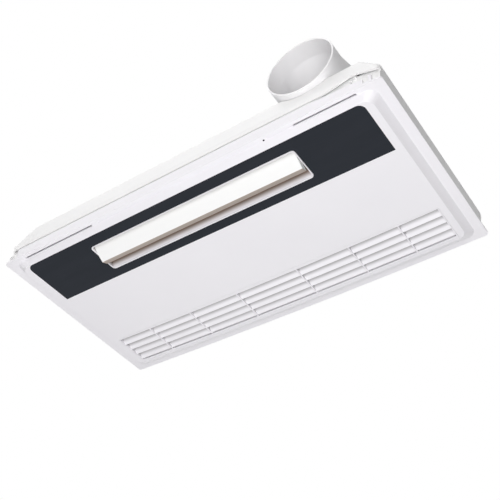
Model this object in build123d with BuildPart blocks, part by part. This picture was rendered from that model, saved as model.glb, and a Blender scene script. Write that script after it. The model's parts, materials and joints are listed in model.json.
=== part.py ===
from build123d import *
import math
import os

# Ceiling warm-air and ventilation unit for a 600 by 300 mm ceiling opening.
# The origin is the centre of the four hanging holes, level with the underside of the hanging
# ears. +Z is up, the panel hangs below, X runs along the panel and the round duct collar
# leaves towards -Y. All lengths are millimetres.

# Heights, measured up from the lower face of the panel's rim
hang_height = 100.0
rim_z = -hang_height
rim_thickness = 2.5
face_depth = 10.0
skirt_height = 22.0
frame_low = 25.0
frame_shoulder = 33.0
deck_height = 64.0
air_height = 136.0
casing_height = 153.0

# Panel in plan, with a raised border on the rim's upper face that meets the ceiling
panel_length = 600.0
panel_near = 150.0
panel_far = 152.0
far_bow = 4.0
panel_wall = 2.5
rim_border = 2.5
rim_border_rise = 0.4
rim_end_width = 13.5
rim_near_width = 8.0
rim_far_width = 8.5
slope_end_run = 9.0
slope_near_run = 5.5
slope_far_run = 14.5
rim_corner = 4.0
face_corner = 12.0
skirt_inset = 3.0
skirt_end_inset = 15.0
skirt_wall = 2.0
skirt_slope_start = 80.0
skirt_slope_drop = 5.0
skirt_notch_length = 11.0
skirt_notch_depth = 13.0

# Dark inlay strip
strip_end_margin = 33.0
strip_length = panel_length - 2 * strip_end_margin
strip_margin = 14.0
strip_near = panel_near - strip_margin
strip_width = 82.5
strip_far = strip_near - strip_width
strip_corner = 10.0
strip_thickness = 1.2
strip_proud = 0.2
strip_seam = 0.1

# Air outlet and its bezel
outlet_length = 327.0
outlet_margin = 17.0
outlet_near = strip_near - outlet_margin
outlet_width = 50.5
outlet_far = outlet_near - outlet_width
bezel_corner = 5.0
bezel_wall = 1.5
bezel_far_wall = 2.0
bezel_proud = 1.0
bezel_flange = 5.0
bezel_flange_thickness = 2.0
slope_rise = 10.0
slope_run = 9.2
throat_top = 24.0
insert_clearance = 0.3

# Louver blade: its pivot, its section and the tilt at which it stands in the outlet
pivot_inset = 14.5
pivot_y = -outlet_near + pivot_inset
pivot_height = -1.85
blade_clearance = 0.8
blade_tilt = 34.6
blade_near_reach = 9.3
blade_far_reach = 18.5
blade_back_reach = 23.8
blade_drop = 8.15
blade_back_rise = 1.6
blade_near_thickness = 1.6
blade_crown = 0.8
blade_edge = 0.6
blade_ear_thickness = 3.0
pin_radius = 2.0
running_clearance = 0.06

# Louver drive: two equal cranks joined by a link
crank_radius = 10.0
crank_angle = 30.0
crank_eye = 3.4
crank_thickness = 2.2
crank_pin_radius = 1.3
link_gap = 0.5
link_thickness = 1.4
link_half_width = 1.7
open_clearance = 0.1
drive_rise = 20.0
shaft_depth = 3.0
louver_motor_radius = 14.0
louver_motor_depth = 19.0
louver_motor_ear_pitch = 35.0
motor_ear_thickness = 1.5
motor_post_radius = 3.0
wire_cover_width = 15.0
wire_cover_height = 6.0

# Return grille
grille_end_margin = 32.5
grille_length = panel_length - 2 * grille_end_margin
grille_far_margin = 26.2
grille_end = panel_far - grille_far_margin
grille_width = 63.8
grille_start = grille_end - grille_width
grille_bow = 3.7
grille_corner = 1.0
grille_flange = 4.0
grille_flange_setback = 6.0
slat_margin = 7.0
slat_first = grille_start + slat_margin
slat_pitch = 13.8
slat_count = 4
slat_gap = 3.2
slat_drop = 7.0
slat_thickness = 1.6
rib_width = 1.6
rib_places = (50.5, 133.5, 208.5)

# Slots along the foot of the raised face, and the signal receiver between two of them
slot_length = 124.0
slot_width = 2.8
inner_slot_x = 67.4
outer_slot_x = 202.2
through_length = 86.0
blind_slot_depth = 1.2
slot_margin = 6.45
slot_line = panel_near - slot_margin
receiver_x = 136.6
receiver_radius = 1.3
receiver_proud = 0.4
receiver_length = 6.0

# Mounting frame
frame_margin = 3.0
frame_end_taper = 25.0
frame_side_taper = 7.0
frame_half_length = panel_length / 2 - frame_margin
frame_half_width = panel_near - frame_margin
frame_top_half_length = frame_half_length - frame_end_taper
frame_top_half_width = frame_half_width - frame_side_taper
frame_wall = 2.0
frame_corner = 6.0
tab_setback = 9.0
tab_corner = 14.0
lip_setback = 4.5
lip_near = frame_half_width - lip_setback
lip_thickness = 1.8
lip_low = 7.0
lip_backing_high = 44.0
frame_notch_start = 75.0
frame_notch_run = 34.0
frame_notch_flat = 10.0
frame_notch_end = 7.0
peg_radius = 1.6
peg_length = 3.0
peg_insets = (38.8, 32.7)
peg_heights = (26.5, 29.7)
top_rim_width = 5.0
ledge_side_width = 8.0
ledge_end_width = 33.0
base_clearance = 0.3
saddle_clearance = 1.0
notch_margin = 4.0

# Spring clips between the skirt and the frame
clip_y = 100.0
clip_width = 12.0
clip_thickness = 0.8
clip_low = 5.5
clip_high = 20.5
clip_root = 3.0

# Casing above the frame
casing_end_margin = 22.0
casing_half_length = frame_top_half_length - casing_end_margin
casing_near_margin = 65.0
casing_near = frame_top_half_width - casing_near_margin
casing_far_margin = 7.0
casing_far = frame_top_half_width - casing_far_margin
sheet = 1.0
casing_flange = 12.0
casing_return = 8.0
casing_screw_margin = 15.0
lid_lip = 11.0
lid_clearance = 0.3
lid_screw_margin = 74.0

# Duct between the outlet and the deck
duct_sheet = 1.2
deck_opening_half_length = 116.0
deck_opening_margin = 3.0
deck_opening_width = 38.0
deck_opening_near = casing_near - deck_opening_margin
deck_opening_far = deck_opening_near - deck_opening_width
duct_foot = 4.0
vane_places = (-78.0, 0.0, 78.0)

# Hanging ears
hang_inset = 14.0
hang_spacing_x = 2 * (casing_half_length + hang_inset)
hang_spacing_y = 124.0
hang_hole_radius = 4.5
ear_margin = 13.0
ear_reach = hang_inset + ear_margin
ear_thickness = 2.0
ear_plate_height = 38.0

# Blower
fan_x = -60.0
fan_y = 48.0
wheel_radius = 60.0
wheel_inner_radius = 48.5
wheel_ring_radius = 52.0
wheel_low = 75.0
wheel_height = 52.0
wheel_blade_count = 36
wheel_blade_sheet = 1.2
wheel_blade_turn = 6.0
wheel_blade_bulge = -2.0
wheel_sheet = 1.5
hub_radius = 9.0
hub_depth = 9.0
shaft_radius = 4.0
shaft_below_hub = 6.0
nut_width = 13.0
nut_height = 4.0
volute_radius = 66.0
volute_growth = 22.0
volute_start = -110.0
volute_sweep = 290.0
volute_arcs = 4
inlet_radius = 50.0
inlet_flange_radius = 64.0
inlet_lip_gap = 1.0
deck_inlet_radius = 55.0
motor_radius = 42.0
motor_gap = 2.0
motor_height = 21.0
motor_edge = 4.0
motor_bore_depth = 5.0
motor_hole_clearance = 2.0
motor_ear_radius = 50.0
motor_ear_width = 12.0
motor_ear_angles = (90, 210, 330)
bush_radius = 5.0
bush_height = 2.5

# Screws, and the two small ones on the near edge of the frame's top
screw_radius = 2.0
screw_head_radius = 3.5
screw_head_height = 2.0
adapter_screw_head = 2.5
visible_screw_xs = (54.4, 60.8)
visible_screw_radius = 1.6
visible_screw_shank = 1.0
visible_screw_height = 1.0

# Divider walls behind the plenum, and the exhaust damper
divider_margin = 3.0
divider_y = -deck_opening_far + divider_margin
plenum_left = -166.0
damper_x = 126.0
damper_setback = 4.5
damper_y = divider_y - damper_setback
damper_gap = 1.5
damper_rise = 2.0
damper_heel = 3.0
damper_thickness = 2.0
damper_shaft_radius = 2.5
damper_motor_radius = 21.0
damper_motor_height = 12.5
damper_motor_edge = 1.5

# Heater
heater_height = 20.0
heater_end_wall = 4.0
heater_side_wall = 1.3
heater_block = 7.0
heater_inset = 2.0
bar_count = 3
bar_width = 4.0
bar_height = 10.0
fin_count = 40
fin_thickness = 0.6
fin_height = 14.0
cutout_radius = 7.0
cutout_depth = 4.0

# Duct adapter
collar_inset = 58.5
collar_x = casing_half_length - collar_inset
collar_z = 102.0
collar_radius = 49.0
duct_wall = 2.0
collar_mouth = panel_near
collar_length = 25.0
adapter_length = 98.0
adapter_height = 66.0
adapter_corner = 8.0
adapter_z = 101.5
adapter_flange = 7.0
adapter_flange_thickness = 2.0
adapter_flange_low = 64.5

# Control box and what it holds
box_inset = 14.0
box_length = 164.0
box_right = casing_half_length - box_inset
box_left = box_right - box_length
box_near_margin = 9.0
box_near = divider_y + box_near_margin
box_far = casing_far - box_near_margin
box_high = 104.0
box_wall = 1.5
standoff_radius = 3.0
standoff_height = 7.0
board_thickness = 1.6
board_end_margin = 12.0
board_near_margin = 10.0
board_width = 94.0
board_row_count = 4
relay_row_inset = 50.0
relay_pitch = 24.0
relay_length = 19.0
relay_width = 15.0
relay_height = 15.0
transformer_length = 32.0
transformer_width = 28.0
transformer_height = 24.0
plug_row_inset = 40.0
plug_pitch = 16.0
plug_length = 12.0
plug_width = 7.0
plug_height = 9.0
terminal_length = 66.0
terminal_width = 20.0
terminal_height = 10.0
terminal_wall = 2.0
terminal_wall_rise = 6.0
terminal_ways = 6
terminal_inset = 24.0
capacitor_length = 44.0
capacitor_width = 26.0
capacitor_height = 30.0
capacitor_corner = 6.0
capacitor_edge = 1.5
capacitor_end_inset = 34.0
capacitor_inset = 22.0

# Cable inlet
inlet_inset = 36.0
inlet_x = box_right - inlet_inset
inlet_z = 90.0
inlet_bore = 5.0
inlet_sleeve = 7.0
inlet_rim = 9.0
inlet_length = 8.0
inlet_edge = 1.0

os.makedirs("parts", exist_ok=True)


# A height above the rim's lower face, in the part's own frame
def z(height):
    return rim_z + height


# A horizontal plane at such a height
def level(height):
    return Plane.XY.offset(z(height))


# An upright plane that faces the duct side, this far towards -Y
def duct_plane(distance):
    return Plane.XZ.offset(distance)


# An upright plane across the panel's length
def end_plane(x):
    return Plane.YZ.offset(x)


def save(builder, name):
    builder.part.label = name
    export_step(builder.part, f"parts/{name}.step")
    solids = builder.part.solids()
    print(name, len(solids), "solids", round(sum(s.volume for s in solids)), "mm3")


# A rectangle given by its sides
def rectangle(plane, left, right, near, far, corner=0.0):
    with BuildSketch(plane) as outline:
        with Locations(((left + right) / 2, (near + far) / 2)):
            Rectangle(right - left, far - near)
        if corner > 0:
            fillet(outline.vertices(), corner)
    return outline.sketch


# An outline with a straight near side, straight ends and a far side that bows outward
def bowed_outline(plane, half_length, near_y, far_y, bow, corner):
    with BuildSketch(plane) as outline:
        with BuildLine():
            Polyline(
                (-half_length, far_y),
                (-half_length, near_y),
                (half_length, near_y),
                (half_length, far_y),
            )
            ThreePointArc((half_length, far_y), (0, far_y + bow), (-half_length, far_y))
        make_face()
        fillet(outline.vertices(), corner)
    return outline.sketch


# A strip whose two long edges follow the same bow
def bowed_strip(plane, half_length, near_y, far_y, bow):
    with BuildSketch(plane) as strip:
        with BuildLine():
            ThreePointArc((-half_length, near_y - bow), (0, near_y), (half_length, near_y - bow))
            Line((half_length, near_y - bow), (half_length, far_y - bow))
            ThreePointArc((half_length, far_y - bow), (0, far_y), (-half_length, far_y - bow))
            Line((-half_length, far_y - bow), (-half_length, near_y - bow))
        make_face()
    return strip.sketch


# Panel outlines
half_length = panel_length / 2
base_half_length = half_length - rim_end_width
top_half_length = base_half_length - slope_end_run
base_near = -panel_near + rim_near_width
top_near = base_near + slope_near_run
base_far = panel_far - rim_far_width
top_far = base_far - slope_far_run
skirt_half_length = half_length - skirt_end_inset
skirt_near = -panel_near + skirt_inset
inner_corner = face_corner - panel_wall
face_height = -face_depth
face_back = face_height + panel_wall

rim_outline = bowed_outline(level(0), half_length, -panel_near, panel_far, far_bow, rim_corner)
face_base = bowed_outline(level(0), base_half_length, base_near, base_far, far_bow, face_corner)
face_top = bowed_outline(
    level(face_height), top_half_length, top_near, top_far, far_bow, face_corner
)
hollow_base = bowed_outline(
    level(0),
    base_half_length - panel_wall,
    base_near + panel_wall,
    base_far - panel_wall,
    far_bow,
    inner_corner,
)
hollow_top = bowed_outline(
    level(face_back),
    top_half_length - panel_wall,
    top_near + panel_wall,
    top_far - panel_wall,
    far_bow,
    inner_corner,
)
skirt_outer = bowed_outline(
    level(rim_thickness), skirt_half_length, skirt_near, base_far, far_bow, rim_corner
)
skirt_inner = bowed_outline(
    level(rim_thickness),
    skirt_half_length - skirt_wall,
    skirt_near + skirt_wall,
    base_far - skirt_wall,
    far_bow,
    rim_corner - skirt_wall,
)

# The grille insert in the face, bowed like the far edge
grille_half_length = grille_length / 2
grille_outline = bowed_outline(
    level(face_height), grille_half_length, grille_start, grille_end, grille_bow, grille_corner
)
grille_opening = bowed_outline(
    level(face_height),
    grille_half_length + insert_clearance,
    grille_start - insert_clearance,
    grille_end + insert_clearance,
    grille_bow,
    grille_corner,
)

bezel_y = -(outlet_near + outlet_far) / 2
strip_y = -(strip_near + strip_far) / 2
border_inner = bowed_outline(
    level(rim_thickness),
    half_length - rim_border,
    -panel_near + rim_border,
    panel_far - rim_border,
    far_bow,
    rim_corner - rim_border,
)

# Face panel: flat rim with a raised border, raised face with sloping sides, hollow back, and
# a skirt that rises into the ceiling opening
with BuildPart() as face_panel:
    extrude(rim_outline, amount=rim_thickness + rim_border_rise)
    extrude(border_inner, amount=rim_border_rise, mode=Mode.SUBTRACT)
    loft([face_base, face_top], ruled=True)
    extrude(hollow_base, amount=rim_thickness, mode=Mode.SUBTRACT)
    loft([hollow_base, hollow_top], ruled=True, mode=Mode.SUBTRACT)
    extrude(skirt_outer, amount=skirt_height - rim_thickness)
    extrude(skirt_inner, amount=skirt_height - rim_thickness, mode=Mode.SUBTRACT)
    # the near side of the skirt slopes down towards the duct end and stops at a step
    slope_start = skirt_half_length - skirt_slope_start
    step_x = skirt_half_length - skirt_notch_length
    with BuildSketch(duct_plane(-skirt_near)):
        with BuildLine():
            Polyline(
                (slope_start, z(skirt_height)),
                (step_x, z(skirt_height - skirt_slope_drop)),
                (step_x, z(skirt_height - skirt_notch_depth)),
                (skirt_half_length, z(skirt_height - skirt_notch_depth)),
                (skirt_half_length, z(skirt_height)),
                close=True,
            )
        make_face()
    extrude(amount=-skirt_wall, mode=Mode.SUBTRACT)
    # seat of the dark strip
    with BuildSketch(level(face_height)) as strip_seat:
        with Locations((0, strip_y)):
            Rectangle(strip_length, strip_width)
        fillet(strip_seat.vertices().group_by(Axis.Y)[0], strip_corner)
    extrude(amount=strip_thickness - strip_proud, mode=Mode.SUBTRACT)
    # outlet opening
    with BuildSketch(level(face_height)):
        with Locations((0, bezel_y)):
            RectangleRounded(
                outlet_length + 2 * insert_clearance,
                outlet_width + 2 * insert_clearance,
                bezel_corner,
            )
    extrude(amount=panel_wall, mode=Mode.SUBTRACT)
    # grille opening
    extrude(grille_opening, amount=panel_wall, mode=Mode.SUBTRACT)
    # four slots along the foot of the raised face: the left one goes through along its whole
    # length and the right one along its outer part
    with BuildSketch(level(0)):
        for x in (-outer_slot_x, -inner_slot_x, inner_slot_x, outer_slot_x):
            with Locations((x, -slot_line)):
                SlotOverall(slot_length, slot_width)
    extrude(amount=blind_slot_depth, mode=Mode.SUBTRACT)
    with BuildSketch(level(0)):
        with Locations((-outer_slot_x, -slot_line)):
            SlotOverall(slot_length, slot_width)
        with Locations((outer_slot_x + (slot_length - through_length) / 2, -slot_line)):
            SlotOverall(through_length, slot_width)
        with Locations((receiver_x, -slot_line)):
            Circle(receiver_radius)
    extrude(amount=rim_thickness, mode=Mode.SUBTRACT)
save(face_panel, "face_panel")

# Dark gloss strip let into the face, with the outlet's opening
with BuildPart() as accent_strip:
    with BuildSketch(level(face_height - strip_proud)) as strip_outline:
        with Locations((0, strip_y)):
            Rectangle(strip_length - 2 * strip_seam, strip_width - 2 * strip_seam)
        fillet(strip_outline.vertices().group_by(Axis.Y)[0], strip_corner)
        with Locations((0, bezel_y)):
            RectangleRounded(
                outlet_length + 2 * insert_clearance,
                outlet_width + 2 * insert_clearance,
                bezel_corner,
                mode=Mode.SUBTRACT,
            )
    extrude(amount=strip_thickness)
save(accent_strip, "accent_strip")

# Receiver for the hand control, a dark pip between two slots
with BuildPart() as signal_receiver:
    with BuildSketch(level(-receiver_proud)):
        with Locations((receiver_x, -slot_line)):
            Circle(receiver_radius)
    extrude(amount=receiver_length)
    fillet(signal_receiver.edges().group_by(Axis.Z)[0], receiver_proud)
save(signal_receiver, "signal_receiver")

# Spring clips that hold the panel up in the frame, two at each end
tab_inner = frame_half_length - frame_wall
clip_middle = (clip_low + clip_high) / 2
with BuildPart() as panel_clips:
    for side in (-1, 1):
        for y in (-clip_y, clip_y):
            with BuildSketch(Plane.XZ.offset(-y - clip_width / 2)):
                with BuildLine():
                    Polyline(
                        (side * (skirt_half_length + clip_thickness / 2), z(clip_high)),
                        (side * (skirt_half_length + clip_thickness / 2), z(clip_high - clip_root)),
                        (side * (tab_inner - clip_thickness), z(clip_middle)),
                        (side * (skirt_half_length + 2 * clip_thickness), z(clip_low)),
                    )
                trace(line_width=clip_thickness)
            extrude(amount=clip_width)
save(panel_clips, "panel_clips")

# Outlet bezel with its throat: the far wall slopes in to meet the blade
throat_far = outlet_far + bezel_far_wall + slope_run
inner_near = -outlet_near + bezel_wall
inner_far = -outlet_far - bezel_far_wall
slope_end = face_height + slope_rise
throat_half_length = outlet_length / 2 - bezel_wall
bezel_face = face_height - bezel_proud
link_start = outlet_length / 2 + link_gap
crank_start = link_start + link_thickness + link_gap
crank_end = crank_start + crank_thickness
motor_face = crank_end + link_gap
drive_height = pivot_height + drive_rise
motor_ear_offset = louver_motor_ear_pitch / 2

with BuildPart() as throat:
    with BuildSketch(end_plane(-throat_half_length)):
        with BuildLine():
            Polyline(
                (inner_near, z(bezel_face)),
                (inner_far, z(bezel_face)),
                (inner_far, z(face_height)),
                (-throat_far, z(slope_end)),
                (-throat_far, z(throat_top)),
                (inner_near, z(throat_top)),
                close=True,
            )
        make_face()
    extrude(amount=2 * throat_half_length)
    near_corners = throat.edges().filter_by(Axis.Z).group_by(Axis.Y)[0]
    fillet(near_corners, bezel_corner - bezel_wall)

with BuildPart() as outlet_bezel:
    with BuildSketch(end_plane(-outlet_length / 2)):
        with BuildLine():
            Polyline(
                (-outlet_near, z(bezel_face)),
                (-outlet_far, z(bezel_face)),
                (-outlet_far, z(face_height + bezel_far_wall)),
                (-throat_far + bezel_far_wall, z(slope_end + bezel_far_wall)),
                (-throat_far + bezel_far_wall, z(throat_top)),
                (-outlet_near, z(throat_top)),
                close=True,
            )
        make_face()
    extrude(amount=outlet_length)
    upright = outlet_bezel.edges().filter_by(Axis.Z).group_by(Axis.Y)
    fillet(upright[0] + upright[-1], bezel_corner)
    # flange behind the face of the panel
    with BuildSketch(level(face_back)):
        with Locations((0, bezel_y)):
            Rectangle(outlet_length - 2 * bezel_corner, outlet_width + 2 * bezel_flange)
    extrude(amount=bezel_flange_thickness)
    # seat of the louver motor on the right end
    with BuildSketch(end_plane(outlet_length / 2)):
        with Locations((pivot_y, z(drive_height))):
            Rectangle(louver_motor_ear_pitch + 4 * motor_post_radius, 3 * motor_post_radius)
    extrude(amount=-bezel_wall)
    add(throat.part, mode=Mode.SUBTRACT)
    # posts for the motor's ears
    with BuildSketch(end_plane(outlet_length / 2)):
        with Locations(
            (pivot_y - motor_ear_offset, z(drive_height)),
            (pivot_y + motor_ear_offset, z(drive_height)),
        ):
            Circle(motor_post_radius)
    extrude(amount=motor_face - outlet_length / 2)
    # pivot holes in both end walls
    with BuildSketch(end_plane(-outlet_length / 2)):
        with Locations((pivot_y, z(pivot_height))):
            Circle(pin_radius + running_clearance)
    extrude(amount=outlet_length, mode=Mode.SUBTRACT)
save(outlet_bezel, "outlet_bezel")

# Louver blade, a wedge-shaped vane, thick at its far edge, with an ear at each end
blade_half_length = throat_half_length - blade_clearance
blade_length = 2 * blade_half_length
tilt = math.radians(blade_tilt)
blade_plane = Plane(
    origin=(-blade_half_length, pivot_y, z(pivot_height)),
    x_dir=(0, math.cos(tilt), -math.sin(tilt)),
    z_dir=(1, 0, 0),
)
blade_middle = (blade_far_reach - blade_near_reach) / 2
ear_root = -blade_drop + blade_near_thickness
near_low = (-blade_near_reach, -blade_drop + blade_crown)
far_low = (blade_far_reach, -blade_drop)
with BuildPart() as louver_blade:
    with BuildSketch(blade_plane) as blade_section:
        with BuildLine():
            ThreePointArc(near_low, (blade_middle, -blade_drop - blade_crown), far_low)
            Polyline(
                far_low,
                (blade_back_reach, blade_back_rise),
                (-blade_near_reach, -blade_drop + blade_crown + blade_near_thickness),
                near_low,
            )
        make_face()
        fillet(blade_section.vertices(), blade_edge)
    extrude(amount=blade_length)
    # ears that carry the pivots
    for start in (0, blade_length - blade_ear_thickness):
        with BuildSketch(blade_plane.offset(start)):
            with BuildLine():
                Polyline(
                    (-2 * pin_radius, 0),
                    (-3 * pin_radius, ear_root),
                    (4 * pin_radius, ear_root),
                    (2 * pin_radius, 0),
                    close=True,
                )
            make_face()
            Circle(2 * pin_radius)
        extrude(amount=blade_ear_thickness)
    with BuildSketch(blade_plane):
        Circle(pin_radius)
    extrude(amount=blade_length, mode=Mode.SUBTRACT)
save(louver_blade, "louver_blade")

# Pivot pin at the blade's left end
with BuildPart() as louver_pin:
    with BuildSketch(end_plane(-outlet_length / 2)):
        with Locations((pivot_y, z(pivot_height))):
            Circle(pin_radius)
    extrude(amount=bezel_wall + blade_clearance + blade_ear_thickness)
save(louver_pin, "louver_pin")

# Both cranks point the same way, turned up by the crank's angle
crank_turn = math.radians(crank_angle)
crank_pin_y = crank_radius * math.cos(crank_turn)
crank_pin_z = crank_radius * math.sin(crank_turn)


def crank(hub_height, shaft_from, shaft_to):
    hub = (pivot_y, z(hub_height))
    pin = (pivot_y + crank_pin_y, z(hub_height) + crank_pin_z)
    middle = (pivot_y + crank_pin_y / 2, z(hub_height) + crank_pin_z / 2)
    with BuildPart() as arm:
        with BuildSketch(end_plane(crank_start)):
            with Locations(hub):
                Circle(crank_eye)
            with Locations(pin):
                Circle(crank_eye - link_gap)
            with Locations(middle):
                Rectangle(crank_radius, 2 * (crank_eye - 2 * link_gap), rotation=crank_angle)
        extrude(amount=crank_thickness)
        with BuildSketch(end_plane(shaft_from)):
            with Locations(hub):
                Circle(pin_radius)
        extrude(amount=shaft_to - shaft_from)
        with BuildSketch(end_plane(link_start - link_gap / 2)):
            with Locations(pin):
                Circle(crank_pin_radius)
        extrude(amount=crank_start - link_start + link_gap / 2)
    return arm


# Crank on the blade's right pivot, with the shaft through the bezel's wall
louver_crank = crank(pivot_height, blade_half_length - blade_ear_thickness, crank_end)
save(louver_crank, "louver_crank")

# Crank on the louver motor's shaft
motor_crank = crank(drive_height, crank_start, motor_face + shaft_depth)
save(motor_crank, "motor_crank")

# Link between the two cranks, as long as their shafts are apart
link_y = pivot_y + crank_pin_y
link_low = z(pivot_height) + crank_pin_z
with BuildPart() as louver_link:
    with BuildSketch(end_plane(link_start)):
        with Locations((link_y, link_low + drive_rise / 2)):
            Rectangle(2 * link_half_width, drive_rise)
        with Locations((link_y, link_low), (link_y, link_low + drive_rise)):
            Circle(crank_eye - link_gap)
        with Locations((link_y, link_low)):
            Circle(crank_pin_radius + open_clearance, mode=Mode.SUBTRACT)
        with Locations((link_y, link_low + drive_rise)):
            Circle(crank_pin_radius + running_clearance, mode=Mode.SUBTRACT)
    extrude(amount=link_thickness)
save(louver_link, "louver_link")

# Small geared motor that swings the louver
with BuildPart() as louver_motor:
    with BuildSketch(end_plane(motor_face)):
        with Locations((pivot_y, z(drive_height))):
            SlotOverall(louver_motor_ear_pitch + 2 * motor_post_radius, 2 * motor_post_radius)
    extrude(amount=motor_ear_thickness)
    with BuildSketch(end_plane(motor_face)):
        with Locations((pivot_y, z(drive_height))):
            Circle(louver_motor_radius)
    extrude(amount=louver_motor_depth)
    fillet(louver_motor.edges().group_by(Axis.X)[-1], motor_ear_thickness)
    # cover over the wires at the top of the can
    with BuildSketch(end_plane(motor_face + motor_ear_thickness)):
        with Locations((pivot_y, z(drive_height) + louver_motor_radius)):
            Rectangle(wire_cover_width, wire_cover_height)
    extrude(amount=louver_motor_depth - 3 * motor_ear_thickness)
    with BuildSketch(end_plane(motor_face)):
        with Locations((pivot_y, z(drive_height))):
            Circle(pin_radius + running_clearance)
    extrude(amount=shaft_depth + link_gap, mode=Mode.SUBTRACT)
save(louver_motor, "louver_motor")

# Return grille: an insert whose slats slope like gills, each flush with the face at its far
# edge and deep behind its neighbour at the near edge, all bowed like the panel's far side
bow_radius = (grille_half_length**2 + grille_bow**2) / (2 * grille_bow)
bow_centre = grille_end + grille_bow - bow_radius
pocket_near = slat_first - slat_gap / 2
pocket_far = slat_first + slat_count * slat_pitch + slat_gap / 2
pocket_half_length = grille_half_length - slat_thickness
pocket_depth = slat_drop + slat_thickness
slat_span = math.asin(grille_half_length / (pocket_near - bow_centre))
slat_plane = Plane(
    origin=(0, bow_centre, z(face_height)),
    x_dir=(math.sin(slat_span), math.cos(slat_span), 0),
    z_dir=(math.cos(slat_span), -math.sin(slat_span), 0),
)
grille_pocket = bowed_strip(
    level(face_height), pocket_half_length, pocket_near, pocket_far, grille_bow
)
with BuildPart() as grille_slats:
    with BuildSketch(slat_plane):
        for index in range(slat_count):
            low = slat_first + index * slat_pitch + slat_gap / 2 - bow_centre
            high = low + slat_pitch - slat_gap
            with BuildLine():
                Polyline(
                    (low, slat_drop),
                    (high, 0),
                    (high, slat_thickness),
                    (low, slat_drop + slat_thickness),
                    close=True,
                )
            make_face()
    revolve(
        axis=Axis((0, bow_centre, 0), (0, 0, 1)),
        revolution_arc=2 * math.degrees(slat_span),
    )
    for place in rib_places:
        for side in (-1, 1):
            rib = rectangle(
                level(face_height),
                side * place - rib_width / 2,
                side * place + rib_width / 2,
                grille_start,
                grille_end,
            )
            extrude(rib, amount=pocket_depth)
    extrude(grille_pocket, amount=pocket_depth, mode=Mode.INTERSECT)

with BuildPart() as return_grille:
    extrude(grille_outline, amount=panel_wall)
    grille_flange_outline = bowed_outline(
        level(face_back),
        grille_half_length + grille_flange,
        grille_start - grille_flange,
        grille_end - grille_flange_setback,
        grille_bow,
        grille_corner,
    )
    extrude(grille_flange_outline, amount=slat_thickness)
    # walls round the pocket
    pocket_walls = bowed_strip(
        level(face_height),
        grille_half_length,
        pocket_near - slat_thickness,
        pocket_far + slat_thickness,
        grille_bow,
    )
    extrude(pocket_walls, amount=pocket_depth)
    extrude(grille_pocket, amount=pocket_depth, mode=Mode.SUBTRACT)
    add(grille_slats.part)
save(return_grille, "return_grille")


# The duct adapter's form: a round collar that flares into a rounded rectangle at the casing
def duct_form(round_radius, length, height, corner, reach):
    with BuildPart() as form:
        with BuildSketch(duct_plane(collar_mouth)):
            with Locations((collar_x, z(collar_z))):
                Circle(round_radius)
        extrude(amount=-collar_length)
        with BuildSketch(duct_plane(collar_mouth - collar_length)) as round_end:
            with Locations((collar_x, z(collar_z))):
                Circle(round_radius)
        with BuildSketch(duct_plane(reach)) as square_end:
            with Locations((collar_x, z(adapter_z))):
                RectangleRounded(length, height, corner)
        loft([round_end.sketch, square_end.sketch], ruled=True)
    return form.part


adapter_face = casing_near + adapter_flange_thickness
adapter_outside = duct_form(
    collar_radius,
    adapter_length + 2 * duct_wall,
    adapter_height + 2 * duct_wall,
    adapter_corner + duct_wall,
    adapter_face,
)
adapter_inside = duct_form(
    collar_radius - duct_wall,
    adapter_length,
    adapter_height,
    adapter_corner,
    adapter_face,
)
saddle_extra = duct_wall + saddle_clearance
adapter_room = duct_form(
    collar_radius + saddle_clearance,
    adapter_length + 2 * saddle_extra,
    adapter_height + 2 * saddle_extra,
    adapter_corner + saddle_extra,
    adapter_face,
)

# Screw places shared by the plates they join
adapter_screw_x = adapter_length / 2 + duct_wall + (adapter_flange - duct_wall) / 2
adapter_screw_places = [
    (collar_x + side * adapter_screw_x, z(adapter_z + rise))
    for side in (-1, 1)
    for rise in (-adapter_height / 3, adapter_height / 3)
]
casing_screw_x = casing_half_length - sheet - casing_flange / 2
casing_screw_rows = (
    -casing_near + casing_screw_margin,
    (casing_far - casing_near) / 2,
    casing_far - casing_screw_margin,
)
casing_screw_places = [(side * casing_screw_x, y) for side in (-1, 1) for y in casing_screw_rows]
visible_screw_y = -frame_top_half_width + top_rim_width / 2
visible_screw_places = [(x, visible_screw_y) for x in visible_screw_xs]
lid_screw_x = casing_half_length - lid_screw_margin
lid_screw_z = z(casing_height - lid_lip / 2)
lid_screw_places = [(-lid_screw_x, lid_screw_z), (lid_screw_x / 3, lid_screw_z)]
motor_ear_places = [
    (
        fan_x + motor_ear_radius * math.cos(math.radians(angle)),
        fan_y + motor_ear_radius * math.sin(math.radians(angle)),
    )
    for angle in motor_ear_angles
]

# Duct adapter: collar for the round duct, flare and screwed flange
with BuildPart() as duct_adapter:
    add(adapter_outside)
    with BuildSketch(duct_plane(adapter_face)):
        flange_high = adapter_z + adapter_height / 2 + adapter_flange
        with Locations((collar_x, z((adapter_flange_low + flange_high) / 2))):
            Rectangle(adapter_length + 2 * adapter_flange, flange_high - adapter_flange_low)
    extrude(amount=-adapter_flange_thickness)
    add(adapter_inside, mode=Mode.SUBTRACT)
    with BuildSketch(duct_plane(adapter_face)):
        with Locations((collar_x, z(adapter_z))):
            RectangleRounded(adapter_length, adapter_height, adapter_corner)
        with Locations(*adapter_screw_places):
            Circle(screw_radius)
    extrude(amount=-adapter_flange_thickness, mode=Mode.SUBTRACT)
save(duct_adapter, "duct_adapter")

# Screws of the duct adapter
with BuildPart() as adapter_screws:
    with BuildSketch(duct_plane(adapter_face)):
        with Locations(*adapter_screw_places):
            Circle(adapter_screw_head)
    extrude(amount=screw_head_height)
    with BuildSketch(duct_plane(adapter_face)):
        with Locations(*adapter_screw_places):
            Circle(screw_radius)
    extrude(amount=-adapter_flange_thickness - 3 * sheet)
save(adapter_screws, "adapter_screws")

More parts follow.
